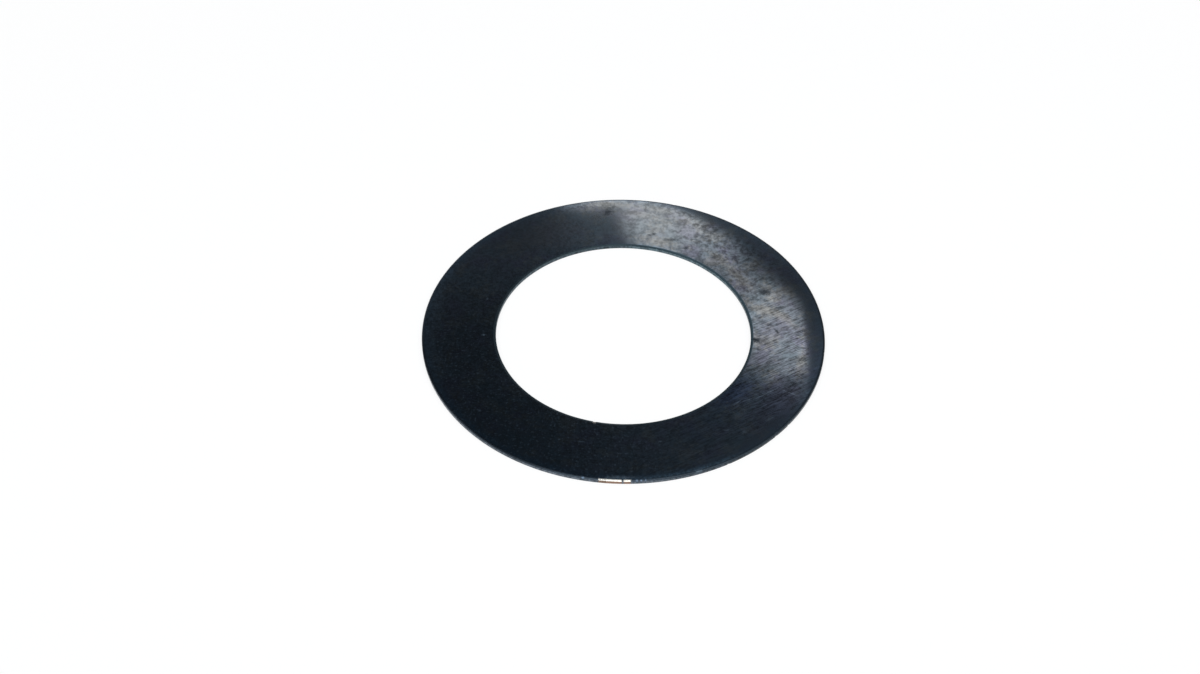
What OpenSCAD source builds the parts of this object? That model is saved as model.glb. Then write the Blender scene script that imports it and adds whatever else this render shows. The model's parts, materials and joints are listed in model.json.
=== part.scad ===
// Shim washer: one thin flat ring, blanked from cold-rolled steel strip and blued.
//
// Millimetres. +Z is up and is the ring's axis. The ring lies on Z = 0, and the
// origin is the centre of the bore in that plane. Angles are anticlockwise from +X,
// seen from above.
//
// The punch enters from above, so both upper edges are rolled round, the walls below
// them are straight, and the lower edges have the small flat left by deburring.

/* [Ring] */
// Outside diameter of the ring
outer_d = 60; // [50:0.5:90]
// Diameter of the bore
bore_d = 38; // [12:0.5:44]
// Thickness of the strip
thickness = 0.6; // [0.4:0.05:1.5]

/* [Blanked edges] */
// Radius rolled onto the upper edge of the rim
rim_roll_r = 0.15; // [0.04:0.01:0.2]
// Radius rolled onto the upper edge of the bore
bore_roll_r = 0.12; // [0.04:0.01:0.2]
// Width of the flat where the burr was taken off each lower edge
deburr_w = 0.03; // [0.01:0.01:0.08]

/* [Handling marks] */
// Radius of the corner that knocked each nick into an edge
nick_r = 0.7; // [0.3:0.05:1.2]
// Depth of the nick in the wall of the bore
bore_nick_depth = 0.07; // [0.02:0.01:0.15]
// Depth of each nick in the rim
rim_nick_depth = 0.05; // [0.02:0.01:0.15]
// Length of the gouge that runs outwards over the upper face from the bore
gouge_len = 1.1; // [0.5:0.1:2.5]
// Depth of the gouge where it meets the bore
gouge_depth = 0.07; // [0.02:0.01:0.12]
// Radius of the tip that cut the gouge
gouge_r = 0.3; // [0.15:0.05:0.6]

/* [Hidden] */

outer_r = outer_d / 2;
bore_r = bore_d / 2;

bore_nick_angle = -102.5;
rim_nick_angles = [-8, -38, -43.5, -60.5, 74.5];
gouge_angle = -5;

// How far a cutting shape runs past what it cuts
past = 1;
// Facets of the ring, and of a small arc
ring_fn = 360;
arc_fn = 48;

// What a rolled edge takes off a square corner at the origin that points to -X, +Y
module rolled_corner(r) {
    difference() {
        translate([-past, -r]) square([past + r, r + past]);
        translate([r, -r]) circle(r, $fn = arc_fn);
    }
}

// What deburring takes off a square corner at the origin that points to -X, -Y
module deburred_corner(w) {
    polygon([[-past, -past], [w + past, -past], [-past, w + past]]);
}

// The ring's section, standing on the X axis at its own radius
module section() {
    difference() {
        translate([bore_r, 0]) square([outer_r - bore_r, thickness]);
        translate([bore_r, thickness]) rolled_corner(bore_roll_r);
        translate([outer_r, thickness]) mirror([1, 0]) rolled_corner(rim_roll_r);
        translate([bore_r, 0]) deburred_corner(deburr_w);
        translate([outer_r, 0]) mirror([1, 0]) deburred_corner(deburr_w);
    }
}

// A nick through the whole edge: axis_r is how far its centre is from the ring's axis
module nick(angle, axis_r) {
    rotate([0, 0, angle])
        translate([axis_r, 0, -past])
            cylinder(r = nick_r, h = thickness + 2 * past, $fn = arc_fn);
}

// A round-bottomed gouge in the upper face, deepest at the bore and running out to nothing
module gouge() {
    rise = atan(gouge_depth / gouge_len);
    rotate([0, 0, gouge_angle])
        translate([bore_r, 0, thickness + gouge_r - gouge_depth])
            rotate([0, 90 - rise, 0])
                translate([0, 0, -past])
                    cylinder(r = gouge_r, h = gouge_len + 2 * past, $fn = arc_fn);
}

module shim_washer() {
    color([0.12, 0.16, 0.19])
        difference() {
            rotate_extrude($fn = ring_fn) section();
            nick(bore_nick_angle, bore_r - nick_r + bore_nick_depth);
            for (angle = rim_nick_angles)
                nick(angle, outer_r + nick_r - rim_nick_depth);
            gouge();
        }
}

shim_washer();
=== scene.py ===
"""A blued steel shim washer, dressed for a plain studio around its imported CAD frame.

The ring is one blanked sheet. Its sizes come from the frame: the outside and the
thickness from the CAD node's box, and the bore from the record's mount. Lengths are in
metres unless a name ends in _mm, and angles are anticlockwise from +X, seen from above.
"""

import json
import logging
import math
from dataclasses import dataclass
from enum import Enum

import bpy
from mathutils import Matrix, Vector


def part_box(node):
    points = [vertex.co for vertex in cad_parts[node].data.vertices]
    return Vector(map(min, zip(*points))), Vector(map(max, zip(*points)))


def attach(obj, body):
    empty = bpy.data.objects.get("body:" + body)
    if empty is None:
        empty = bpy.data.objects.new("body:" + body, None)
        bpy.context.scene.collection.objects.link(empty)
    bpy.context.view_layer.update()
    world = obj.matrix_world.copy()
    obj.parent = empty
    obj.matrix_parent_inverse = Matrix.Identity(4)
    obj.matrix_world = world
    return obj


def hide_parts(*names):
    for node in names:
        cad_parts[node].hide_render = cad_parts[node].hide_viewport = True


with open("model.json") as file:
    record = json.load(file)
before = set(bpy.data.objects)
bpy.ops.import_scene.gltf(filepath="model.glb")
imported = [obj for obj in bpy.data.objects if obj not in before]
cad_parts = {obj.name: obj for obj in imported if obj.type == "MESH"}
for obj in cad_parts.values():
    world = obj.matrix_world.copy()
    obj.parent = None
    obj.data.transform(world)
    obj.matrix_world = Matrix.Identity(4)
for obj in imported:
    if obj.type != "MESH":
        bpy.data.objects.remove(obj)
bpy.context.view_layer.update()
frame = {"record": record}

LOG = logging.getLogger("shim_washer")
MM = 0.001
NODE = "shim_washer"
BODY = "root"

Colour = tuple[float, float, float]
Place = tuple[float, float, float]
# Where a soft step leaves 0, and where it reaches 1
Step = tuple[float, float]
WHITE: Colour = (1.0, 1.0, 1.0)


# --------------------------------------------------------------------------------------
# Shader building
# --------------------------------------------------------------------------------------


class Signal:
    """A value socket that arithmetic operators turn into Math nodes."""

    def __init__(self, board: "NodeBoard", socket: bpy.types.NodeSocket) -> None:
        """Wraps an output socket of a node that stands on a board."""
        self.board = board
        self.socket = socket

    def math(self, operation: str, *operands: "Signal | float") -> "Signal":
        """Adds one Math node.

        Args:
            operation: The node's operation, such as "MULTIPLY".
            *operands: Its inputs in order, each a signal or a number.

        Returns:
            The node's result.
        """
        sockets = dict(enumerate(operands))
        node = self.board.add("ShaderNodeMath", {"operation": operation}, sockets)
        return Signal(self.board, node.outputs[0])

    def __add__(self, other: "Signal | float") -> "Signal":
        """Returns self + other."""
        return self.math("ADD", self, other)

    def __radd__(self, other: float) -> "Signal":
        """Returns other + self."""
        return self.math("ADD", other, self)

    def __sub__(self, other: "Signal | float") -> "Signal":
        """Returns self - other."""
        return self.math("SUBTRACT", self, other)

    def __rsub__(self, other: float) -> "Signal":
        """Returns other - self."""
        return self.math("SUBTRACT", other, self)

    def __mul__(self, other: "Signal | float") -> "Signal":
        """Returns self * other."""
        return self.math("MULTIPLY", self, other)

    def __rmul__(self, other: float) -> "Signal":
        """Returns other * self."""
        return self.math("MULTIPLY", other, self)

    def __truediv__(self, other: "Signal | float") -> "Signal":
        """Returns self / other."""
        return self.math("DIVIDE", self, other)

    def __pow__(self, other: "Signal | float") -> "Signal":
        """Returns self to the power of other."""
        return self.math("POWER", self, other)

    def most(self, other: "Signal | float") -> "Signal":
        """Returns the larger of self and other."""
        return self.math("MAXIMUM", self, other)

    def root(self) -> "Signal":
        """Returns the square root of self."""
        return self.math("SQRT", self)

    def rise(self, start: float, end: float) -> "Signal":
        """Steps smoothly from 0 to 1.

        Args:
            start: Where the step leaves 0.
            end: Where it reaches 1; below start, the step falls instead.

        Returns:
            The step, held at 0 and 1 outside it.
        """
        low, high = min(start, end), max(start, end)
        node = self.board.add(
            "ShaderNodeMapRange",
            {"interpolation_type": "SMOOTHSTEP"},
            {"Value": self, "From Min": low, "From Max": high},
        )
        step = Signal(self.board, node.outputs["Result"])
        return step if start < end else 1 - step


class NodeBoard:
    """A node tree, and the few ways in which this script adds to it."""

    # A Mix node's sockets for colours: its two inputs and its result
    MIX_FIRST, MIX_SECOND, MIX_RESULT = 6, 7, 2

    def __init__(self, tree: bpy.types.NodeTree) -> None:
        """Takes an emptied node tree."""
        self.tree = tree

    def add(
        self, kind: str, settings: dict | None = None, sockets: dict | None = None
    ) -> bpy.types.Node:
        """Adds any node.

        Args:
            kind: The node's type, such as "ShaderNodeTexNoise".
            settings: The node's own properties, set before its sockets.
            sockets: Input names or numbers, each with a number, colour, vector, signal or
                output socket.

        Returns:
            The new node.
        """
        node = self.tree.nodes.new(kind)
        for name, value in (settings or {}).items():
            setattr(node, name, value)
        for key, value in (sockets or {}).items():
            target = node.inputs[key]
            if isinstance(value, Signal):
                self.tree.links.new(value.socket, target)
            elif isinstance(value, bpy.types.NodeSocket):
                self.tree.links.new(value, target)
            elif isinstance(value, tuple) and len(value) == 3 and target.type == "RGBA":
                target.default_value = (*value, 1.0)
            else:
                target.default_value = value
        return node

    def signal(
        self, kind: str, settings: dict | None, sockets: dict | None, output: str
    ) -> Signal:
        """Adds any node and wraps one of its outputs by name."""
        return Signal(self, self.add(kind, settings, sockets).outputs[output])

    def place_mm(self) -> tuple[Signal, Signal, Signal]:
        """Returns the surface point's X, Y and Z in the part's frame, in millimetres."""
        source = self.add("ShaderNodeTexCoord").outputs["Object"]
        split = self.add("ShaderNodeSeparateXYZ", None, {0: source})
        return tuple(Signal(self, split.outputs[axis]) * (1 / MM) for axis in "XYZ")

    def light_path(self, output: str) -> Signal:
        """Returns whether the ray is of one kind, such as "Is Camera Ray"."""
        return self.signal("ShaderNodeLightPath", None, None, output)

    def seen_directly(self) -> Signal:
        """Returns 1 for a ray from the camera or by way of a gloss or glass."""
        seen = self.light_path("Is Camera Ray").most(self.light_path("Is Glossy Ray"))
        return seen.most(self.light_path("Is Transmission Ray"))

    def point(
        self, x: Signal | float, y: Signal | float, z: Signal | float
    ) -> bpy.types.NodeSocket:
        """Joins three values into a vector."""
        return self.add("ShaderNodeCombineXYZ", None, {0: x, 1: y, 2: z}).outputs[0]

    def noise(
        self, place: bpy.types.NodeSocket, scale: float, detail: float = 2.0, rough: float = 0.5
    ) -> Signal:
        """Adds fractal noise.

        Args:
            place: The point at which it is read.
            scale: How many features lie along one unit of that point.
            detail: Octaves past the first.
            rough: How strong each finer octave is.

        Returns:
            A value round 0.5.
        """
        sockets = {"Vector": place, "Scale": scale, "Detail": detail, "Roughness": rough}
        return self.signal("ShaderNodeTexNoise", None, sockets, "Fac")

    def blend(
        self, share: Signal | float, first: object, second: object, mode: str = "MIX"
    ) -> bpy.types.NodeSocket:
        """Mixes two colours.

        Args:
            share: How much of the second colour there is.
            first: A colour, or an output socket.
            second: A colour, or an output socket.
            mode: The Mix node's blend type.

        Returns:
            The mixed colour.
        """
        settings = {"data_type": "RGBA", "blend_type": mode, "clamp_factor": True}
        sockets = {"Factor": share, self.MIX_FIRST: first, self.MIX_SECOND: second}
        return self.add("ShaderNodeMix", settings, sockets).outputs[self.MIX_RESULT]

    def scale_colour(self, colour: bpy.types.NodeSocket, tone: Signal) -> bpy.types.NodeSocket:
        """Makes a colour lighter or darker by a factor."""
        return self.blend(1.0, colour, self.point(tone, tone, tone), "MULTIPLY")


def new_material(name: str) -> tuple[bpy.types.Material, NodeBoard]:
    """Makes a material with an empty node tree, and its board."""
    material = bpy.data.materials.new(name)
    material.use_nodes = True
    material.node_tree.nodes.clear()
    return material, NodeBoard(material.node_tree)


def finish_metal(
    material: bpy.types.Material,
    board: NodeBoard,
    colour: bpy.types.NodeSocket,
    roughness: Signal,
    bump: bpy.types.Node,
) -> bpy.types.Material:
    """Ends a metal's node tree with its shader.

    Args:
        material: The material that the tree belongs to.
        board: The tree's board.
        colour: The metal's colour.
        roughness: Its roughness.
        bump: The node that bends its normal.

    Returns:
        The same material.
    """
    sockets = {
        "Base Color": colour,
        "Roughness": roughness,
        "Metallic": 1.0,
        "Normal": bump.outputs[0],
    }
    shader = board.add("ShaderNodeBsdfPrincipled", None, sockets)
    board.add("ShaderNodeOutputMaterial", None, {"Surface": shader.outputs[0]})
    return material


# --------------------------------------------------------------------------------------
# Finishes
# --------------------------------------------------------------------------------------


@dataclass(frozen=True)
class Noise:
    """Fractal noise: features per millimetre, octaves, their strength, and a layer of its own."""

    scale: float
    detail: float = 2.0
    rough: float = 0.5
    layer_mm: float = 0.0
    spot_step: Step = (0.0, 1.0)

    def read(self, board: NodeBoard, x: Signal, y: Signal, z: Signal) -> Signal:
        """Reads the noise.

        Args:
            board: The board that it is drawn on.
            x: The place's X in millimetres.
            y: The place's Y in millimetres.
            z: The place's Z in millimetres.

        Returns:
            A value round 0.5.
        """
        place = board.point(x, y, z + self.layer_mm)
        return board.noise(place, self.scale, self.detail, self.rough)

    def spots(self, board: NodeBoard, x: Signal, y: Signal, z: Signal) -> Signal:
        """Returns the noise steepened into spots, from 0 to 1."""
        return self.read(board, x, y, z).rise(*self.spot_step)


@dataclass(frozen=True)
class Window:
    """A soft-edged region, bounded by steps in millimetres.

    The steps run along X, along Y, and away from an edge of the ring.
    """

    share: float
    x_mm: tuple[Step, ...] = ()
    y_mm: tuple[Step, ...] = ()
    edge_mm: tuple[Step, ...] = ()

    def mask(self, x: Signal, y: Signal, from_edge: Signal | None = None) -> Signal:
        """Draws the region.

        Args:
            x: The surface point's X in millimetres.
            y: The surface point's Y in millimetres.
            from_edge: How far it is from the edge, where the region has steps from one.

        Returns:
            The region's share inside it and 0 outside, softly.
        """
        sides = ((x, self.x_mm), (y, self.y_mm), (from_edge, self.edge_mm))
        rises = [place.rise(*step) for place, steps in sides for step in steps]
        return math.prod(rises, start=self.share)


@dataclass(frozen=True)
class Slope:
    """A soft straight edge: the way across it, and the step along that way in millimetres."""

    toward: tuple[float, float]
    step_mm: Step

    def mask(self, x: Signal, y: Signal) -> Signal:
        """Returns 1 past the edge and 0 before it, softly."""
        return (x * self.toward[0] + y * self.toward[1]).rise(*self.step_mm)


@dataclass(frozen=True)
class SheetPlace:
    """The shaded point of the sheet, in millimetres, and the noise that frays what is there."""

    board: NodeBoard
    x: Signal
    y: Signal
    z: Signal
    from_rim: Signal
    from_bore: Signal
    ragged: Signal


@dataclass(frozen=True)
class Mark:
    """A single stain, pit or rub on the upper face, as an oval with a frayed edge."""

    radius_mm: float
    angle: float
    length_mm: float
    width_mm: float
    slant: float
    strength: float
    fray: float = 2.4
    edge: Step = (1.5, 0.1)

    def mask(self, at: SheetPlace) -> Signal:
        """Draws the oval.

        Args:
            at: The shaded point.

        Returns:
            Its strength, 0 outside and the mark's own at its middle.
        """
        turn, lean = math.radians(self.angle), math.radians(self.slant)
        from_x = at.x - self.radius_mm * math.cos(turn)
        from_y = at.y - self.radius_mm * math.sin(turn)
        along = (from_x * math.cos(lean) + from_y * math.sin(lean)) * (2 / self.length_mm)
        across = (from_y * math.cos(lean) - from_x * math.sin(lean)) * (2 / self.width_mm)
        distance = (along * along + across * across).root() + (at.ragged - 0.5) * self.fray
        return distance.rise(*self.edge) * self.strength


@dataclass(frozen=True)
class BluedSheet:
    """The rolled and blued faces: rolling grain on one side, grainier scale on the other."""

    name: str = "blued_sheet"
    oxide: Colour = (0.070, 0.079, 0.091)
    straw: Colour = (0.098, 0.098, 0.095)
    lilac: Colour = (0.072, 0.073, 0.093)
    teal: Colour = (0.063, 0.077, 0.088)
    navy: Colour = (0.052, 0.064, 0.096)
    umber: Colour = (0.078, 0.074, 0.078)
    # Painted reflection: the lighter colour of the margins beside the rim and the bore
    margin_sheen: Colour = (0.074, 0.101, 0.131)
    # Painted highlight: the bright colour of a band along the near rim
    near_rim_highlight: Colour = (0.19, 0.26, 0.31)
    # Painted reflection: the lighter colour along the left of the rim
    left_rim_sheen: Colour = (0.110, 0.130, 0.150)
    soot: Colour = (0.014, 0.017, 0.021)
    # Worn blue steel, also the colour of two painted highlights by the near rim
    worn_and_glint_blue: Colour = (0.34, 0.38, 0.42)
    roughness: float = 0.10
    dullness: float = 0.14
    stain_dullness: float = 0.2
    contrast: float = 1.20
    grain_contrast: float = 0.12
    relief: float = 0.85
    calm_relief: float = 0.6
    pitting: float = 0.8
    bump_strength: float = 0.55
    bump_depth: float = 0.0035 * MM

    # Rolling grain, and where it takes over from the scale
    grain_angle: float = 31.0
    grain: Noise = Noise(1.0, 2.0, 0.68)
    grain_stretch: tuple[float, float] = (0.95, 4.5)
    hairline: Noise = Noise(1.0, 1.0, 0.65, 40.0)
    hairline_stretch: tuple[float, float] = (0.35, 6.5)
    streak_step: Step = (0.39, 0.61)
    cloud: Noise = Noise(0.24)
    grained_slant: float = 0.45
    grained_fray_mm: float = 14.0
    grained_mm: Step = (6.0, 26.0)
    least_grain: float = 0.05
    added_grain: float = 0.55

    # Scale
    mottle: Noise = Noise(1.05, 4.0, 0.72, 20.0, (0.34, 0.66))
    pepper: Noise = Noise(2.4, 3.0, 0.75, 30.0, (0.39, 0.61))
    peppered_left_mm: Step = (2.0, -8.0)
    peppered_near_mm: Step = (-12.0, -20.0)
    pepper_share: float = 0.70

    # Where the texture is calmer than elsewhere, and where it is livelier
    far_calm: Window = Window(0.50, x_mm=((16.0, 5.0),), y_mm=((8.0, 20.0),))
    stirred: Window = Window(0.30, x_mm=((1.0, -5.0),))
    near_calm: Window = Window(0.20, y_mm=((-14.0, -22.0),))
    left_calm: Window = Window(0.20, x_mm=((-7.0, -14.0),))
    rim_calm: Window = Window(0.50, x_mm=((8.0, 18.0),), edge_mm=((2.8, 1.4),))
    lively: Window = Window(0.30, x_mm=((8.0, 14.0),), y_mm=((-5.0, -10.0), (-18.0, -12.0)))

    # Soft tints
    patch: Noise = Noise(0.30, 2.0, 0.5, 60.0)
    grains: Noise = Noise(1.5, 2.0, 0.5, 70.0)
    patch_share: float = 0.6
    straw_step: Step = (0.50, 0.60)
    straw_share: float = 0.6
    bloom: Noise = Noise(0.28, 3.0, 0.55, 80.0)
    teal_step: Step = (0.50, 0.36)
    lilac_step: Step = (0.50, 0.64)
    bloom_share: float = 0.8
    far_straw: Window = Window(0.4, x_mm=((-12.0, 0.0), (20.0, 10.0)), y_mm=((16.0, 24.0),))

    # Painted light beside the two edges: painted reflections along both margins and the left of
    # the rim, a painted highlight along the near rim, and a tint by the near side of the bore
    rim_sheen_mm: Step = (1.9, 0.3)
    bore_sheen_mm: Step = (0.7, 0.1)
    sheen_share: float = 0.8
    far_sheen_thinning: Window = Window(0.65, y_mm=((19.0, 27.0),))
    right_sheen_thinning: Window = Window(0.5, x_mm=((7.0, 15.0),))
    left_sheen_arc: Window = Window(0.5, x_mm=((-25.5, -28.0),), edge_mm=((3.4, 1.4),))
    near_bore: Window = Window(
        0.7, x_mm=((6.0, 0.0),), y_mm=((-8.0, -14.0),), edge_mm=((1.0, 0.3),)
    )
    near_highlight_arc: Window = Window(
        1.0, x_mm=((-1.0, 4.0), (18.0, 12.0)), y_mm=((-20.0, -24.0),), edge_mm=((1.1, 0.2),)
    )
    near_highlight_least: float = 0.3
    near_highlight_step: Step = (0.4, 0.6)

    # Marks
    ragged: Noise = Noise(2.4, 2.0, 0.6)
    specks: Noise = Noise(1.1, 2.0, 0.55, 9.0, (0.64, 0.84))
    speck_share: float = 0.5
    flecks: Noise = Noise(3.0, 1.0, 0.5, 90.0, (0.57, 0.74))
    flecked: Window = Window(0.30, x_mm=((12.0, -6.0),), y_mm=((10.0, -4.0),))
    stained: tuple[Mark, ...] = ()
    strawed: tuple[Mark, ...] = ()
    lilac_washed: tuple[Mark, ...] = ()
    navy_washed: tuple[Mark, ...] = ()
    umber_washed: tuple[Mark, ...] = ()
    rubs_and_glints: tuple[Mark, ...] = ()

    def material(self, bore_mm: float, rim_mm: float) -> bpy.types.Material:
        """Makes the finish.

        Args:
            bore_mm: Radius of the bore.
            rim_mm: Radius of the rim.

        Returns:
            The material.
        """
        material, board = new_material(self.name)
        x, y, z = board.place_mm()
        radius = (x * x + y * y).root()
        ragged = self.ragged.read(board, x, y, z)
        at = SheetPlace(board, x, y, z, rim_mm - radius, radius - bore_mm, ragged)
        fray = (self.cloud.read(board, x, y, z) - 0.5) * self.grained_fray_mm
        grained = (x - y * self.grained_slant + fray).rise(*self.grained_mm)
        texture = self.texture(at, grained * self.added_grain + self.least_grain)
        calm, stains = self.calm(at), self.stains(at)

        swing = self.contrast + grained * self.grain_contrast
        swing = swing * (1 - calm + self.lively.mask(x, y))
        colour = board.scale_colour(self.colour(at), 1 + (texture - 0.5) * swing)
        colour = board.blend(stains, colour, self.soot)
        relief = texture * (self.relief - calm * self.calm_relief) - stains * self.pitting
        settings = {"Strength": self.bump_strength, "Distance": self.bump_depth, "Height": relief}
        bump = board.add("ShaderNodeBump", None, settings)
        roughness = self.roughness + (1 - texture) * self.dullness + stains * self.stain_dullness
        return finish_metal(material, board, colour, roughness, bump)

    def texture(self, at: SheetPlace, grained: Signal) -> Signal:
        """Lays the rolling grain over the scale.

        Args:
            at: The shaded point.
            grained: How much of it is grain, from 0 to 1.

        Returns:
            The sheet's brightness from 0 to 1, round 0.5.
        """
        board, x, y, z = at.board, at.x, at.y, at.z
        lean = math.radians(self.grain_angle)
        along = x * math.cos(lean) + y * math.sin(lean)
        across = y * math.cos(lean) - x * math.sin(lean)
        length, width = self.grain_stretch
        grain = self.grain.read(board, along * length, across * width, z)
        length, width = self.hairline_stretch
        hairline = self.hairline.read(board, along * length, across * width, z)
        streaks = ((grain + hairline) / 2).rise(*self.streak_step)
        mottle = self.mottle.spots(board, x, y, z)
        pepper = self.pepper.spots(board, x, y, z)
        peppered = x.rise(*self.peppered_left_mm).most(y.rise(*self.peppered_near_mm))
        scale = mottle + (pepper - mottle) * peppered * self.pepper_share
        return streaks * grained + scale * (1 - grained)

    def calm(self, at: SheetPlace) -> Signal:
        """Returns how much calmer the texture is at a place, from 0 up."""
        calm = self.far_calm.mask(at.x, at.y) * (1 - self.stirred.mask(at.x, at.y))
        calm = calm + self.near_calm.mask(at.x, at.y) + self.left_calm.mask(at.x, at.y)
        return calm + self.rim_calm.mask(at.x, at.y, at.from_rim)

    def stains(self, at: SheetPlace) -> Signal:
        """Returns how sooty a place is: the scattered specks and the single stains."""
        stains = self.specks.spots(at.board, at.x, at.y, at.z) * self.speck_share
        for mark in self.stained:
            stains = stains.most(mark.mask(at))
        return stains

    def colour(self, at: SheetPlace) -> bpy.types.NodeSocket:
        """Colours the oxide, its washes and flecks, its worn spots and painted highlights, and the
        painted reflections of its margins, before the texture.
        """
        board, x, y = at.board, at.x, at.y
        colour = board.blend(self.far_straw.mask(x, y), self.tinted(at), self.straw)
        # Painted reflection: the margins beside the rim and the bore are lightened, less towards
        # the far side and the right
        painted_sheen = at.from_rim.rise(*self.rim_sheen_mm)
        painted_sheen = painted_sheen.most(at.from_bore.rise(*self.bore_sheen_mm)) * self.sheen_share
        painted_sheen = painted_sheen * (1 - self.far_sheen_thinning.mask(x, y)) * (1 - self.right_sheen_thinning.mask(x, y))
        colour = board.blend(painted_sheen, colour, self.margin_sheen)
        # Painted reflection along the left of the rim
        colour = board.blend(self.left_sheen_arc.mask(x, y, at.from_rim), colour, self.left_rim_sheen)
        colour = board.blend(self.near_bore.mask(x, y, at.from_bore), colour, self.umber)
        washes = (
            (self.straw, self.strawed),
            (self.lilac, self.lilac_washed),
            (self.navy, self.navy_washed),
            (self.umber, self.umber_washed),
        )
        for wash, marks in washes:
            for mark in marks:
                colour = board.blend(mark.mask(at), colour, wash)
        # Painted highlight: a band along the near rim, broken into flecks
        broken = at.ragged.rise(*self.near_highlight_step) * (1 - self.near_highlight_least)
        near_highlight_arc = self.near_highlight_arc.mask(x, y, at.from_rim) * (broken + self.near_highlight_least)
        colour = board.blend(near_highlight_arc, colour, self.near_rim_highlight)
        # Worn spots, and two painted highlights by the near rim
        for mark in self.rubs_and_glints:
            colour = board.blend(mark.mask(at), colour, self.worn_and_glint_blue)
        flecks = self.flecks.spots(board, x, y, at.z) * self.flecked.mask(x, y)
        return board.blend(flecks, colour, self.worn_and_glint_blue)

    def tinted(self, at: SheetPlace) -> bpy.types.NodeSocket:
        """Colours the oxide in soft patches of straw, lilac and teal."""
        board, x, y, z = at.board, at.x, at.y, at.z
        bloom = self.bloom.read(board, x, y, z)
        teal, lilac = bloom.rise(*self.teal_step), bloom.rise(*self.lilac_step)
        colour = board.blend(teal * self.bloom_share, self.oxide, self.teal)
        colour = board.blend(lilac * self.bloom_share, colour, self.lilac)
        patch = self.patch.read(board, x, y, z) * self.patch_share
        grains = self.grains.read(board, x, y, z) * (1 - self.patch_share)
        straw = (patch + grains).rise(*self.straw_step) * self.straw_share
        return board.blend(straw, colour, self.straw)


@dataclass(frozen=True)
class Rub:
    """A spot on the near edge where the blueing is worn thin or through; one is a painted
    highlight. X in millimetres.
    """

    start_mm: float
    end_mm: float
    corner: Colour
    wall: Colour
    start_soft_mm: float = 0.12
    end_soft_mm: float = 0.1
    near_mm: Step = (0.0, -1.0)

    def mask(self, x: Signal, y: Signal) -> Signal:
        """Returns 1 on the rub and 0 elsewhere, softly."""
        begun = x.rise(self.start_mm - self.start_soft_mm, self.start_mm + self.start_soft_mm)
        ended = x.rise(self.end_mm + self.end_soft_mm, self.end_mm - self.end_soft_mm)
        return begun * ended * y.rise(*self.near_mm)


@dataclass(frozen=True)
class Shade:
    """A stretch of an edge that is darker than the rest; its limits are in millimetres."""

    x_mm: Step
    y_mm: Step
    wall: float
    corner: float

    def mask(self, x: Signal, y: Signal) -> Signal:
        """Returns 1 in the stretch and 0 elsewhere, softly."""
        return x.rise(*self.x_mm) * y.rise(*self.y_mm)


@dataclass(frozen=True)
class CutEdge:
    """A blanked wall under a rolled corner: drag lines along the punch's travel."""

    name: str
    # Painted light and shade: lit and shaded colours for the wall and the corner, turning from one
    # side of the ring to the other
    wall_shading_left: Colour
    wall_shading_right: Colour
    corner_shading_left: Colour
    corner_shading_right: Colour
    shading_turn_mm: Step
    corner_from_mm: float
    roughness: float
    shade: Shade
    edge_rubs_and_glints: tuple[Rub, ...] = ()
    drag: Noise = Noise(1.0, 3.0, 0.65)
    drag_stretch: tuple[float, float] = (2.2, 0.6)
    drag_step: Step = (0.3, 0.7)
    drag_least: float = 0.55
    drag_added: float = 0.9
    patch: Noise = Noise(0.35, 3.0)
    shading_fray_mm: float = 8.0
    chips: Noise = Noise(2.6, 2.0, 0.6, 50.0)
    chip_mm: float = 0.22
    rub_fray: float = 1.2
    corner_soft_mm: float = 0.03
    roughness_swing: float = 0.2
    bump_strength: float = 0.5
    bump_depth: float = 0.004 * MM

    def material(self) -> bpy.types.Material:
        """Makes the finish and returns its material."""
        material, board = new_material(self.name)
        x, y, z = board.place_mm()
        round_ring, up_wall = self.drag_stretch
        drag = self.drag.read(board, x * round_ring, y * round_ring, z * up_wall)
        patch = self.patch.read(board, x, y, z)
        shading_turn = (x + (patch - 0.5) * self.shading_fray_mm).rise(*self.shading_turn_mm)
        shaded = self.shade.mask(x, y)
        drawn = self.drag_least + drag.rise(*self.drag_step) * self.drag_added
        # Painted light and shade, turning from one side to the other
        wall = board.blend(shading_turn, self.wall_shading_left, self.wall_shading_right)
        wall = board.scale_colour(wall, drawn * (1 - shaded * self.shade.wall))
        corner = board.blend(shading_turn, self.corner_shading_left, self.corner_shading_right)
        corner = board.scale_colour(corner, 1 - shaded * self.shade.corner)
        chipped = (self.chips.read(board, x, y, z) - 0.5) * self.chip_mm
        for rub in self.edge_rubs_and_glints:
            # Worn spots, and painted highlights on the edge
            worn = rub.mask(x + chipped * self.rub_fray, y)
            wall = board.blend(worn, wall, rub.wall)
            corner = board.blend(worn, corner, rub.corner)
        low, high = (self.corner_from_mm + side * self.corner_soft_mm for side in (-1, 1))
        colour = board.blend((z + chipped).rise(low, high), wall, corner)
        roughness = self.roughness + (patch - 0.5) * self.roughness_swing
        settings = {"Strength": self.bump_strength, "Distance": self.bump_depth, "Height": drag}
        bump = board.add("ShaderNodeBump", None, settings)
        return finish_metal(material, board, colour, roughness, bump)


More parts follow.
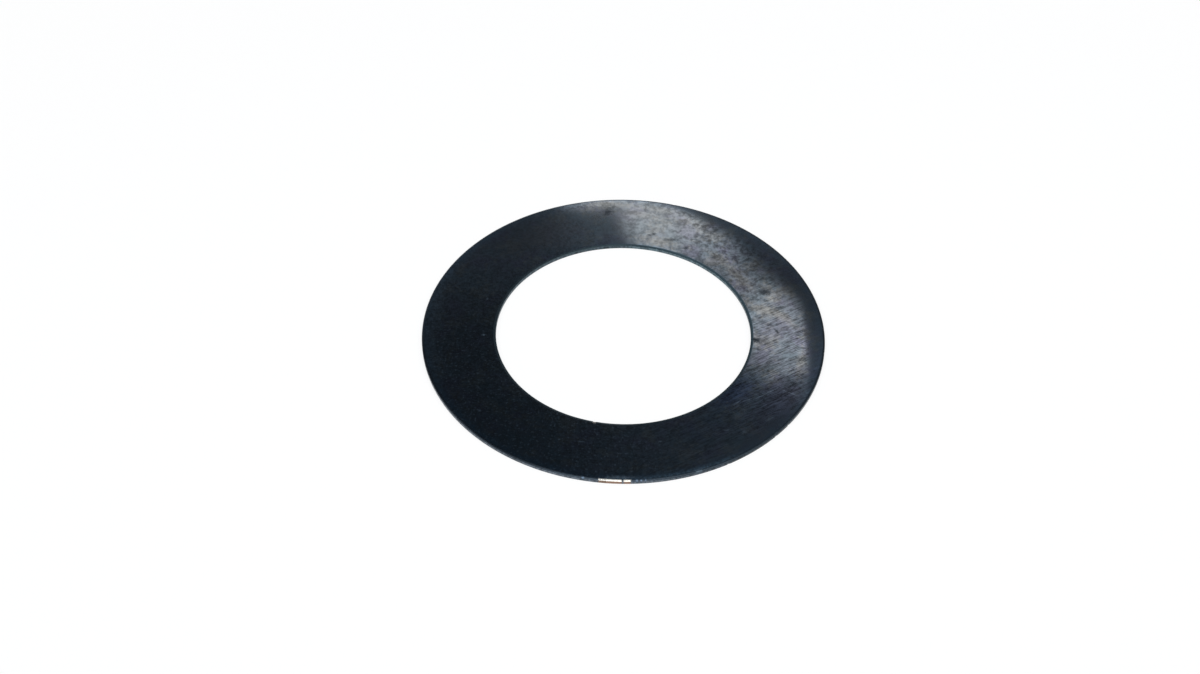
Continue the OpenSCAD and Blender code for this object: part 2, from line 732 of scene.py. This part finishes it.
@dataclass(frozen=True)
class WhitePaper:
    """The plain floor, which shows white and keeps a pale shadow."""

    name: str = "white_paper"
    colour: Colour = (0.93, 0.93, 0.93)
    tooth_colour: Colour = (0.9, 0.9, 0.9)
    tooth_scale: float = 900.0
    tooth_share: float = 0.04
    shown_white: float = 0.8
    shown_level: float = 1.0
    plain_from_mm: float = 90.0
    plain_mm: float = 260.0

    def material(self) -> bpy.types.Material:
        """Makes the finish and returns its material."""
        material, board = new_material(self.name)
        place = board.add("ShaderNodeTexCoord").outputs["Object"]
        tooth = board.noise(place, self.tooth_scale, 2.0) * self.tooth_share
        matt = {
            "Base Color": board.blend(tooth, self.colour, self.tooth_colour),
            "Roughness": 1.0,
            "Diffuse Roughness": 1.0,
            "Specular IOR Level": 0.0,
        }
        paper = board.add("ShaderNodeBsdfPrincipled", None, matt)
        glow = {"Color": WHITE, "Strength": self.shown_level}
        white = board.add("ShaderNodeEmission", None, glow)
        x, y, _ = board.place_mm()
        plain = (x * x + y * y).root().rise(self.plain_from_mm, self.plain_mm)
        share = board.seen_directly() * (self.shown_white + plain * (1 - self.shown_white))
        sockets = {0: share, 1: paper.outputs[0], 2: white.outputs[0]}
        mixed = board.add("ShaderNodeMixShader", None, sockets)
        board.add("ShaderNodeOutputMaterial", None, {"Surface": mixed.outputs[0]})
        return material


# --------------------------------------------------------------------------------------
# The ring
# --------------------------------------------------------------------------------------


class Zone(Enum):
    """Where on the ring a strip of its surface lies, in the order of its material slots."""

    FACE = 0
    RIM_EDGE = 1
    BORE_EDGE = 2


@dataclass(frozen=True)
class SectionPoint:
    """A point of the ring's section; zone is that of the strip from here to the next.

    share runs from 0 at the bore to 1 at the rim, and inset is added to that radius.
    lift is 1 on the upper face and falls to 0 down a rolled corner.
    """

    share: float
    inset: float
    height: float
    lift: float
    zone: Zone


@dataclass(frozen=True)
class Nick:
    """A round-bottomed knock in an edge."""

    angle: float
    depth: float
    corner: float

    def bite(self, angle: float, radius: float) -> float:
        """Returns how deep the nick is in an edge of that radius at an angle in degrees."""
        turn = (angle - self.angle + 180.0) % 360.0 - 180.0
        aside = abs(math.radians(turn)) * radius
        if aside >= self.corner:
            return 0.0
        return max(0.0, self.depth - self.corner + math.sqrt(self.corner**2 - aside**2))

    def half_width(self, radius: float) -> float:
        """Returns half the nick's width in degrees, on an edge of that radius."""
        return math.degrees(math.sqrt(2 * self.corner * self.depth) / radius)


@dataclass(frozen=True)
class Gouge:
    """A groove over the upper face that starts at the bore and runs out to nothing."""

    angle: float
    length: float
    depth: float
    tip: float
    worn_lips: float = 1.25

    def bite(self, angle: float, radius: float, bore: float) -> float:
        """Returns the groove's depth at a point of the upper face; its lips are worn round."""
        turn = (angle - self.angle + 180.0) % 360.0 - 180.0
        aside = math.radians(turn) * radius / self.half_width
        deepest = self.depth * (1 - (radius - bore) / self.length)
        if abs(aside) >= 1 or deepest <= 0:
            return 0.0
        return deepest * (1 - aside**2) ** 2

    @property
    def half_width(self) -> float:
        """Half the groove's width where it is widest, with its worn lips."""
        return self.worn_lips * math.sqrt(2 * self.tip * self.depth)


@dataclass(frozen=True)
class Ripple:
    """One long, shallow wave across the sheet."""

    direction: float
    length: float
    depth: float
    phase: float

    def dip(self, x: float, y: float) -> float:
        """Returns how far the wave sinks the upper face at a place."""
        turn = math.radians(self.direction)
        along = x * math.cos(turn) + y * math.sin(turn)
        return self.depth * (1 + math.sin(2 * math.pi * along / self.length + self.phase)) / 2


@dataclass
class ShimRing:
    """The blanked ring: the CAD's own section, with a finer surface."""

    rim: float
    bore: float
    thickness: float
    rim_roll: float = 0.15 * MM
    rim_roll_width: float = 0.32 * MM
    bore_roll: float = 0.12 * MM
    bore_roll_width: float = 0.38 * MM
    deburr: float = 0.03 * MM
    rim_draw: tuple[float, float] = (1.6 * MM, 0.020 * MM)
    bore_draw: tuple[float, float] = (2.4 * MM, 0.030 * MM)
    bore_nicks: tuple[Nick, ...] = (Nick(-102.5, 0.07 * MM, 0.7 * MM),)
    rim_nicks: tuple[Nick, ...] = tuple(
        Nick(angle, 0.05 * MM, 0.7 * MM) for angle in (-8.0, -38.0, -43.5, -60.5, 74.5)
    )
    gouge: Gouge = Gouge(-5.0, 1.1 * MM, 0.07 * MM, 0.3 * MM)
    ripples: tuple[Ripple, ...] = (
        Ripple(15.0, 9.0 * MM, 0.004 * MM, 0.4),
        Ripple(74.0, 6.5 * MM, 0.003 * MM, 2.1),
        Ripple(131.0, 13.0 * MM, 0.006 * MM, 4.0),
    )
    steps_round: int = 720
    face_rings: int = 36
    arc_steps: int = 8
    wall_steps: int = 3
    spot_steps: int = 8
    spot_steps_inside: int = 6
    sharp_from: float = 35.0

    def section(self) -> list[SectionPoint]:
        """Lays out the section, anticlockwise from the lower edge of the bore."""
        points: list[SectionPoint] = []
        rings = self.face_rings
        for i in range(rings + 1):
            share = (1 - math.cos(math.pi * i / rings)) / 2
            zone = Zone.FACE if i < rings else Zone.RIM_EDGE
            points.append(SectionPoint(share, self.deburr * (1 - 2 * share), 0.0, 0.0, zone))
        rim_wall_top = self.thickness - self.rim_roll
        for i in range(self.wall_steps):
            height = self.deburr + (rim_wall_top - self.deburr) * i / self.wall_steps
            points.append(SectionPoint(1.0, 0.0, height, 0.0, Zone.RIM_EDGE))
        for i in range(self.arc_steps):
            lean = math.pi / 2 * i / self.arc_steps
            inset, rise = -self.rim_roll_width * (1 - math.cos(lean)), math.sin(lean)
            height = rim_wall_top + self.rim_roll * rise
            points.append(SectionPoint(1.0, inset, height, rise, Zone.RIM_EDGE))
        for i in range(rings + 1):
            share = (1 + math.cos(math.pi * i / rings)) / 2
            inset = self.bore_roll_width * (1 - share) - self.rim_roll_width * share
            zone = Zone.FACE if i < rings else Zone.BORE_EDGE
            points.append(SectionPoint(share, inset, self.thickness, 1.0, zone))
        bore_wall_top = self.thickness - self.bore_roll
        for i in range(1, self.arc_steps + 1):
            lean = math.pi / 2 * (1 - i / self.arc_steps)
            inset, rise = self.bore_roll_width * (1 - math.cos(lean)), math.sin(lean)
            height = bore_wall_top + self.bore_roll * rise
            points.append(SectionPoint(0.0, inset, height, rise, Zone.BORE_EDGE))
        for i in range(1, self.wall_steps + 1):
            height = bore_wall_top + (self.deburr - bore_wall_top) * i / self.wall_steps
            points.append(SectionPoint(0.0, 0.0, height, 0.0, Zone.BORE_EDGE))
        return points

    def angles(self) -> list[float]:
        """Returns the angles of the section's copies, closest at the nicks and the gouge."""
        found = {round(360.0 * i / self.steps_round, 3) for i in range(self.steps_round)}
        spots = [(n.angle, n.half_width(self.rim)) for n in self.rim_nicks]
        spots += [(n.angle, n.half_width(self.bore)) for n in self.bore_nicks]
        spots.append((self.gouge.angle, math.degrees(self.gouge.half_width / self.bore)))
        steps = range(-self.spot_steps, self.spot_steps + 1)
        inside = self.spot_steps_inside
        for centre, half in spots:
            found |= {round((centre + half * step / inside) % 360.0, 3) for step in steps}
        return sorted(found)

    def dip(self, angle: float, radius: float) -> float:
        """Returns how far the upper face lies under the top of the sheet at a place."""
        turn = math.radians(angle)
        x, y = radius * math.cos(turn), radius * math.sin(turn)
        sunk = sum(ripple.dip(x, y) for ripple in self.ripples)
        rim_width, rim_depth = self.rim_draw
        bore_width, bore_depth = self.bore_draw
        sunk += rim_depth * max(0.0, (radius - self.rim + rim_width) / rim_width) ** 2
        sunk += bore_depth * max(0.0, (self.bore + bore_width - radius) / bore_width) ** 2
        return sunk + self.gouge.bite(angle, radius, self.bore)

    def mesh(self) -> bpy.types.Mesh:
        """Turns the section about the ring's axis and returns the closed mesh."""
        section, angles = self.section(), self.angles()
        vertices: list[Place] = []
        for angle in angles:
            bore = self.bore + sum(n.bite(angle, self.bore) for n in self.bore_nicks)
            rim = self.rim - sum(n.bite(angle, self.rim) for n in self.rim_nicks)
            turn = math.radians(angle)
            cosine, sine = math.cos(turn), math.sin(turn)
            for point in section:
                radius = bore * (1 - point.share) + rim * point.share + point.inset
                height = point.height - point.lift * self.dip(angle, radius)
                vertices.append((radius * cosine, radius * sine, height))
        count, turns = len(section), len(angles)
        faces = []
        for i in range(turns):
            here, there = i * count, (i + 1) % turns * count
            for j in range(count):
                k = (j + 1) % count
                faces.append((here + j, there + j, there + k, here + k))
        mesh = bpy.data.meshes.new("ring_sheet")
        mesh.from_pydata(vertices, [], faces)
        zones = [point.zone.value for point in section] * turns
        mesh.polygons.foreach_set("material_index", zones)
        mesh.polygons.foreach_set("use_smooth", [True] * len(faces))
        mesh.set_sharp_from_angle(angle=math.radians(self.sharp_from))
        mesh.update()
        return mesh

    def build(self) -> bpy.types.Object:
        """Makes the ring as an object that rides on the part's one body."""
        ring = bpy.data.objects.new("ring_sheet", self.mesh())
        bpy.context.scene.collection.objects.link(ring)
        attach(ring, BODY)
        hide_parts(NODE)
        return ring

    def dress(self, ring: bpy.types.Object) -> None:
        """Gives the ring's faces and cut edges their finishes."""
        stained = (
            Mark(26.95, 95.0, 3.2, 1.2, 55.0, 0.9),
            Mark(26.0, 99.0, 2.4, 1.4, 40.0, 0.5),
            Mark(21.9, 79.4, 0.7, 0.5, 0.0, 0.7),
            Mark(22.3, 77.5, 0.6, 0.5, 0.0, 0.7),
            Mark(21.8, 69.2, 2.4, 0.6, -8.0, 0.65),
            Mark(20.9, 62.3, 0.8, 0.6, 0.0, 0.75),
            Mark(23.1, 22.2, 2.3, 1.6, 20.0, 0.9),
            Mark(19.7, 38.5, 5.5, 1.0, -51.5, 0.4),
            Mark(19.8, 52.5, 5.5, 0.9, -37.5, 0.35),
            Mark(24.5, 39.9, 1.4, 0.5, 30.0, 0.6),
            Mark(22.1, 4.0, 0.7, 0.5, 0.0, 0.7),
            Mark(22.9, 0.7, 1.1, 0.45, -55.0, 0.9),
            Mark(20.3, -10.4, 0.7, 0.5, 0.0, 0.8),
            Mark(19.75, -4.9, 1.8, 1.1, 10.0, 1.0),
            Mark(26.8, -7.0, 1.0, 0.4, 0.0, 0.8),
            Mark(26.7, -23.3, 0.8, 0.6, 0.0, 0.8),
            Mark(28.98, -32.1, 1.6, 0.4, 50.0, 0.7),
        )
        strawed = (
            Mark(22.6, 11.5, 6.0, 2.0, -33.0, 0.9),
            Mark(23.5, 17.9, 2.2, 1.4, -20.0, 0.7),
            Mark(21.4, 36.0, 8.5, 1.7, -54.0, 0.8),
            Mark(22.2, 49.0, 4.5, 1.5, -41.0, 0.7),
            Mark(24.5, 7.0, 5.0, 1.8, -50.0, 0.8),
            Mark(26.9, -13.0, 6.0, 1.3, 80.0, 0.8),
            Mark(26.5, 84.0, 6.0, 1.6, -12.0, 0.6),
            Mark(28.8, 94.0, 9.0, 1.8, -2.0, 0.9),
            Mark(28.0, 78.0, 6.0, 1.6, -14.0, 0.7),
            Mark(20.7, 74.0, 5.5, 2.2, -17.0, 0.9),
        )
        lilac_washed = (
            Mark(26.6, -33.0, 13.0, 6.0, 55.0, 0.9),
            Mark(22.5, 2.0, 6.0, 4.0, 30.0, 0.6),
        )
        navy_washed = (
            Mark(20.2, -39.0, 8.0, 4.0, 48.0, 0.9),
            Mark(23.0, -60.0, 6.0, 4.0, 20.0, 0.4),
        )
        umber_washed = (
            Mark(24.6, 119.0, 13.0, 6.0, 29.0, 0.7),
            Mark(21.0, 113.0, 5.0, 2.0, 23.0, 0.4),
        )
        rubs_and_glints = (
            Mark(20.84, -176.7, 0.5, 0.45, 0.0, 0.9),
            Mark(21.6, 162.0, 0.5, 0.3, 80.0, 0.5),
            Mark(24.3, -150.0, 0.45, 0.4, 0.0, 0.5),
            Mark(26.6, -141.0, 0.45, 0.4, 0.0, 0.5),
            Mark(27.5, -40.3, 1.2, 0.5, 35.0, 0.3),
            Mark(26.75, -49.7, 1.1, 0.5, 35.0, 0.25),
            # Painted highlight: a glow on the face above the bright rub of the near rim
            Mark(29.42, -91.5, 4.2, 0.8, 1.0, 0.9),
            Mark(24.3, -31.5, 3.4, 0.22, 34.0, 0.28),
            Mark(23.2, -36.5, 4.2, 0.2, 22.0, 0.2),
            Mark(22.0, -41.5, 2.6, 0.2, 47.0, 0.2),
            Mark(27.3, -27.5, 2.2, 0.2, -28.0, 0.28),
            # Painted highlight: a streak along the near rim
            Mark(29.66, -69.2, 2.0, 0.35, 20.8, 0.5),
            Mark(24.8, -54.0, 0.9, 0.3, 10.0, 0.3),
            Mark(23.4, -105.0, 0.9, 0.3, 0.0, 0.35),
            Mark(23.0, -77.0, 0.5, 0.35, 0.0, 0.35),
        )
        # A brown line on the wall lies under the bright rub
        bare_steel, brown_wall = (0.86, 0.83, 0.76), (0.30, 0.19, 0.14)
        thin_blue, grey_wall = (0.13, 0.18, 0.25), (0.08, 0.105, 0.13)
        edge_rubs_and_glints = (
            Rub(-3.5, -2.35, (0.60, 0.58, 0.54), (0.22, 0.15, 0.11)),
            Rub(-2.45, -0.25, bare_steel, brown_wall),
            Rub(0.05, 1.0, bare_steel, brown_wall),
            Rub(-5.85, -5.45, thin_blue, grey_wall),
            Rub(1.75, 2.0, thin_blue, grey_wall),
            Rub(2.35, 2.6, thin_blue, grey_wall),
            Rub(3.0, 3.15, thin_blue, grey_wall),
            # Painted highlight: a lighter stretch of the near rim
            Rub(10.1, 11.0, grey_wall, grey_wall),
        )
        rim_edge = CutEdge(
            name="rim_edge",
            # Painted light and shade: lighter on the left of the rim, darker on the right
            wall_shading_left=(0.125, 0.15, 0.18),
            wall_shading_right=(0.036, 0.050, 0.060),
            corner_shading_left=(0.047, 0.062, 0.080),
            corner_shading_right=(0.023, 0.031, 0.039),
            shading_turn_mm=(0.0, 21.0),
            corner_from_mm=(self.thickness - self.rim_roll) / MM,
            roughness=0.35,
            shade=Shade((-7.0, -17.0), (0.0, -4.0), 0.18, 0.45),
            edge_rubs_and_glints=edge_rubs_and_glints,
        )
        bore_edge = CutEdge(
            name="bore_edge",
            # Painted light and shade: the wall lighter on the right, the corner darker on the
            # right
            wall_shading_left=(0.070, 0.095, 0.112),
            wall_shading_right=(0.110, 0.155, 0.178),
            corner_shading_left=(0.046, 0.064, 0.074),
            corner_shading_right=(0.022, 0.036, 0.045),
            shading_turn_mm=(-1.0, 4.0),
            corner_from_mm=(self.thickness - self.bore_roll) / MM,
            roughness=0.4,
            shade=Shade((13.0, 17.5), (11.0, 5.0), 0.3, 0.2),
            # Worn metal and a painted highlight at the nick in the bore
            edge_rubs_and_glints=(Rub(-4.4, -3.95, (0.30, 0.27, 0.24), (0.20, 0.17, 0.15)),),
        )
        sheet = BluedSheet(
            stained=stained,
            strawed=strawed,
            lilac_washed=lilac_washed,
            navy_washed=navy_washed,
            umber_washed=umber_washed,
            rubs_and_glints=rubs_and_glints,
        )
        faces = sheet.material(self.bore / MM, self.rim / MM)
        finishes = (faces, rim_edge.material(), bore_edge.material())
        for material in finishes:
            ring.data.materials.append(material)


# --------------------------------------------------------------------------------------
# The studio
# --------------------------------------------------------------------------------------


@dataclass(frozen=True)
class Viewpoint:
    """The camera, placed by how it looks at the ring; lengths are in outside radii."""

    elevation: float = 44.415
    roll: float = 0.576
    distance: float = 10.705
    aim_right: float = -0.116
    aim_down: float = 0.0169
    focal_mm: float = 64.53
    sensor_mm: float = 36.0

    def build(self, unit: float) -> bpy.types.Object:
        """Makes the scene's camera.

        Args:
            unit: The ring's outside radius.

        Returns:
            The camera.
        """
        lift, turn = math.radians(self.elevation), math.radians(self.roll)
        right = Vector((1.0, 0.0, 0.0))
        forward = Vector((0.0, math.cos(lift), -math.sin(lift)))
        down = forward.cross(right)
        rolled_right = right * math.cos(turn) - down * math.sin(turn)
        rolled_down = right * math.sin(turn) + down * math.cos(turn)
        aim = rolled_right * self.aim_right + rolled_down * self.aim_down
        data = bpy.data.cameras.new("camera")
        data.sensor_width, data.lens = self.sensor_mm, self.focal_mm
        camera = bpy.data.objects.new("camera", data)
        axes = Matrix((rolled_right, -rolled_down, -forward)).transposed()
        place = (aim - forward * self.distance) * unit
        camera.matrix_world = Matrix.Translation(place) @ axes.to_4x4()
        bpy.context.scene.collection.objects.link(camera)
        bpy.context.scene.camera = camera
        return camera


@dataclass(frozen=True)
class Softbox:
    """A rectangular lamp; places and sizes are in outside radii of the ring."""

    name: str
    place: Place
    width: float
    height: float
    radiance: float

    def build(self, unit: float) -> bpy.types.Object:
        """Makes the lamp, aimed at the ring and unseen by the camera itself.

        Args:
            unit: The ring's outside radius.

        Returns:
            The lamp.
        """
        data = bpy.data.lights.new(self.name, "AREA")
        data.shape, data.size, data.size_y = "RECTANGLE", self.width * unit, self.height * unit
        data.energy = self.radiance * math.pi * data.size * data.size_y
        lamp = bpy.data.objects.new(self.name, data)
        lamp.location = Vector(self.place) * unit
        lamp.rotation_mode = "QUATERNION"
        lamp.rotation_quaternion = (-lamp.location).to_track_quat("-Z", "Y")
        lamp.visible_camera = False
        bpy.context.scene.collection.objects.link(lamp)
        return lamp


@dataclass(frozen=True)
class MirroredCard:
    """A glowing card over the far side of the ring, laid out by its own reflection.

    Its mesh is drawn to the size that its reflection has on the ring's upper face, and
    scaled up so that the camera sees it there. Sizes in millimetres are on that face.
    It is clear where it doesn't glow, so the room shows through it.
    """

    name: str = "back_card"
    height: float = 0.35
    low_mm: tuple[float, float] = (-36.0, -34.0)
    high_mm: tuple[float, float] = (36.0, 38.0)

    # The glow's edges
    left_edge: Slope = Slope((1.0, 0.25), (4.0, 8.8))
    left_bulge: Window = Window(1.0, x_mm=((-11.8, -5.0),), y_mm=((26.3, 29.2),))
    right_edge: Slope = Slope((1.0, 0.0), (27.45, 26.7))
    far_edge: Slope = Slope((0.62, 0.78), (28.3, 26.3))
    near_edge: Slope = Slope((0.67, 0.74), (2.0, 14.0))
    near_fall_off: float = 1.5
    near_corner: Slope = Slope((-0.51, 0.86), (-21.4, -18.6))
    near_corner_least: float = 0.3

    # The corner that is cut off, with a bay and a valley along the cut
    cut_toward: tuple[float, float] = (0.825, 0.567)
    cut_mm: Step = (27.0, 22.5)
    bay_mm: tuple[Step, ...] = ((1.0, -1.5), (-6.5, -1.5))
    bay_depth_mm: float = 0.6
    valley_mm: tuple[Step, ...] = ((-0.5, 3.0), (8.0, 4.0))
    valley_out_mm: Step = (21.8, 23.5)
    valley_share: float = 0.14

    # The glow's level
    low_level: float = 1.25
    far_lobe: float = 1.20
    far_lobe_mm: Step = (1.0, -12.0)
    right_lobe: float = 1.10
    right_lobe_mm: Step = (4.0, 12.0)

    # The haze round it
    haze_colour: Colour = (0.78, 0.94, 1.10)
    far_haze: Window = Window(0.45, x_mm=((-18.0, 1.0),), y_mm=((7.0, 26.0),))
    far_haze_least: float = 0.4
    hazes: tuple[Window, ...] = (
        Window(0.17, x_mm=((-20.0, 28.0),), y_mm=((8.0, -6.0),)),
        Window(0.10, y_mm=((-2.0, 18.0),)),
        Window(0.15, x_mm=((26.0, 27.5),), y_mm=((-11.0, -7.0), (18.0, -2.0))),
        Window(0.13, x_mm=((12.0, 19.0),), y_mm=((-20.0, -13.0), (-5.0, -10.0))),
    )
    dark: float = 0.001

    def build(self, unit: float, eye: Vector, face_height: float) -> bpy.types.Object:
        """Makes the card.

        Args:
            unit: The ring's outside radius.
            eye: Where the camera stands.
            face_height: Height of the ring's upper face.

        Returns:
            The card.
        """
        scale = 1 + (self.height * unit - face_height) / (eye.z - face_height)
        (x0, y0), (x1, y1) = self.low_mm, self.high_mm
        corners = [(x * MM, y * MM, 0.0) for x, y in ((x0, y0), (x1, y0), (x1, y1), (x0, y1))]
        mesh = bpy.data.meshes.new(self.name)
        mesh.from_pydata(corners, [], [(0, 1, 2, 3)])
        mesh.materials.append(self.material())
        card = bpy.data.objects.new(self.name, mesh)
        card.scale = (scale, scale, 1.0)
        card.location = ((1 - scale) * eye.x, (1 - scale) * eye.y, self.height * unit)
        card.visible_camera = False
        card.visible_diffuse = False
        card.visible_shadow = False
        bpy.context.scene.collection.objects.link(card)
        return card

    @property
    def peak(self) -> float:
        """A level that the card's glow and haze never pass together."""
        glow = self.low_level + self.far_lobe + self.right_lobe
        return glow + self.far_haze.share + sum(haze.share for haze in self.hazes)

    def cut_corner(self, x: Signal, y: Signal, across: Signal) -> Signal:
        """Draws the cut corner.

        Args:
            x: The place's X in millimetres.
            y: The place's Y in millimetres.
            across: How far it is along the cut.

        Returns:
            1 inside the cut and 0 beyond it, softly.
        """
        bay = math.prod(across.rise(*step) for step in self.bay_mm)
        outward = x * self.cut_toward[0] + y * self.cut_toward[1] - bay * self.bay_depth_mm
        valley = math.prod(across.rise(*step) for step in self.valley_mm)
        valley = valley * outward.rise(*self.valley_out_mm) * self.valley_share
        return outward.rise(*self.cut_mm) * (1 - valley)

    def glow(self, x: Signal, y: Signal, across: Signal, cut_corner: Signal) -> Signal:
        """Draws the glow.

        Args:
            x: The place's X in millimetres.
            y: The place's Y in millimetres.
            across: How far it is along the cut.
            cut_corner: 1 inside the cut and 0 beyond it.

        Returns:
            The glow's level.
        """
        left_side = self.left_edge.mask(x, y).most(self.left_bulge.mask(x, y))
        corner = self.near_corner.mask(x, y) * (1 - self.near_corner_least)
        near_side = self.near_edge.mask(x, y) ** self.near_fall_off
        near_side = near_side * (self.near_corner_least + corner)
        level = self.low_level + across.rise(*self.far_lobe_mm) * self.far_lobe
        level = level + across.rise(*self.right_lobe_mm) * self.right_lobe
        sides = left_side * self.right_edge.mask(x, y) * self.far_edge.mask(x, y) * near_side
        return sides * cut_corner * level

    def haze(self, x: Signal, y: Signal, cut_corner: Signal) -> Signal:
        """Returns the haze's level at a place, given 1 inside the cut and 0 beyond it."""
        thinned = self.far_haze_least + cut_corner * (1 - self.far_haze_least)
        haze = self.far_haze.mask(x, y) * thinned
        for window in self.hazes:
            haze = haze + window.mask(x, y)
        return haze

    def material(self) -> bpy.types.Material:
        """Makes the glow and its haze, and returns their material."""
        material, board = new_material(self.name)
        x, y, _ = board.place_mm()
        across = (x - y) * math.sqrt(0.5)
        cut_corner = self.cut_corner(x, y, across)
        glow, haze = self.glow(x, y, across, cut_corner), self.haze(x, y, cut_corner)
        colour = board.blend(haze / (glow + haze + self.dark), WHITE, self.haze_colour)
        light = board.add("ShaderNodeEmission", None, {"Color": colour, "Strength": self.peak})
        clear = board.add("ShaderNodeBsdfTransparent").outputs[0]
        lit = board.add("ShaderNodeAddShader", None, {0: light.outputs[0], 1: clear}).outputs[0]
        sockets = {0: (glow + haze) / self.peak, 1: clear, 2: lit}
        mixed = board.add("ShaderNodeMixShader", None, sockets)
        board.add("ShaderNodeOutputMaterial", None, {"Surface": mixed.outputs[0]})
        return material


@dataclass(frozen=True)
class Studio:
    """A white floor, a room that darkens from its horizon up, and the lamps."""

    floor_half: float = 4.0
    floor_gap: float = 0.002 * MM
    ceiling: Colour = (0.0065, 0.034, 0.061)
    fall_off: float = 2.2
    white_to: float = 0.115
    shaded_from: float = 0.20
    lamps: tuple[Softbox, ...] = (
        Softbox("overhead_softbox", (2.2, -0.5, 12.0), 7.5, 11.0, 1.5),
        Softbox("left_softbox", (-11.0, -1.0, 12.0), 11.0, 11.0, 2.2),
        Softbox("right_softbox", (11.0, -1.0, 12.0), 11.0, 11.0, 2.2),
        Softbox("front_strip", (-1.0, -6.0, 10.4), 6.4, 1.6, 13.0),
    )

    def build(self, unit: float, eye: Vector, face_height: float) -> None:
        """Makes the floor, the room, the card and the lamps.

        Args:
            unit: The ring's outside radius.
            eye: Where the camera stands.
            face_height: Height of the ring's upper face.
        """
        self.build_floor()
        self.build_room()
        MirroredCard().build(unit, eye, face_height)
        for lamp in self.lamps:
            lamp.build(unit)
        bpy.context.scene.view_settings.view_transform = "Standard"

    def build_floor(self) -> None:
        """Lays the floor just under the ring."""
        half = self.floor_half
        mesh = bpy.data.meshes.new("floor")
        corners = [(-half, -half, 0.0), (half, -half, 0.0), (half, half, 0.0), (-half, half, 0.0)]
        mesh.from_pydata(corners, [], [(0, 1, 2, 3)])
        mesh.materials.append(WhitePaper().material())
        floor = bpy.data.objects.new("floor", mesh)
        floor.location.z = -self.floor_gap
        bpy.context.scene.collection.objects.link(floor)

    def build_room(self) -> None:
        """Sets the world: a white horizon all round, darkening to the ceiling."""
        world = bpy.data.worlds.new("room")
        bpy.context.scene.world = world
        world.use_nodes = True
        world.node_tree.nodes.clear()
        board = NodeBoard(world.node_tree)
        direction = board.add("ShaderNodeTexCoord").outputs["Generated"]
        upward = board.signal("ShaderNodeSeparateXYZ", None, {0: direction}, "Z").most(0.0)
        horizon = upward.rise(self.shaded_from, self.white_to)
        share = ((1 - upward) ** self.fall_off).most(horizon)
        colour = board.blend(share, self.ceiling, WHITE)
        background = board.add("ShaderNodeBackground", None, {"Color": colour, "Strength": 1.0})
        board.add("ShaderNodeOutputWorld", None, {"Surface": background.outputs[0]})


def packed_bore() -> float:
    """Returns the bore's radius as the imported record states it."""
    mounts = {mount["name"]: mount for mount in frame["record"]["mounts"]}
    return mounts["bore"]["dims"]["r_mm"] * MM


def main() -> None:
    """Builds the camera, the ring and the studio, and reports each."""
    logging.basicConfig(level=logging.INFO, format="%(name)s: %(message)s")
    low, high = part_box(NODE)
    rim, thickness = (high[0] - low[0]) / 2, high[2] - low[2]
    camera = Viewpoint().build(rim)
    LOG.info("camera made")
    shim = ShimRing(rim=rim, bore=packed_bore(), thickness=thickness)
    ring = shim.build()
    shim.dress(ring)
    LOG.info("%s: %d faces, rides on %s", ring.name, len(ring.data.polygons), BODY)
    Studio().build(rim, camera.location, thickness)
    LOG.info("studio made")


if __name__ == "__main__":
    main()
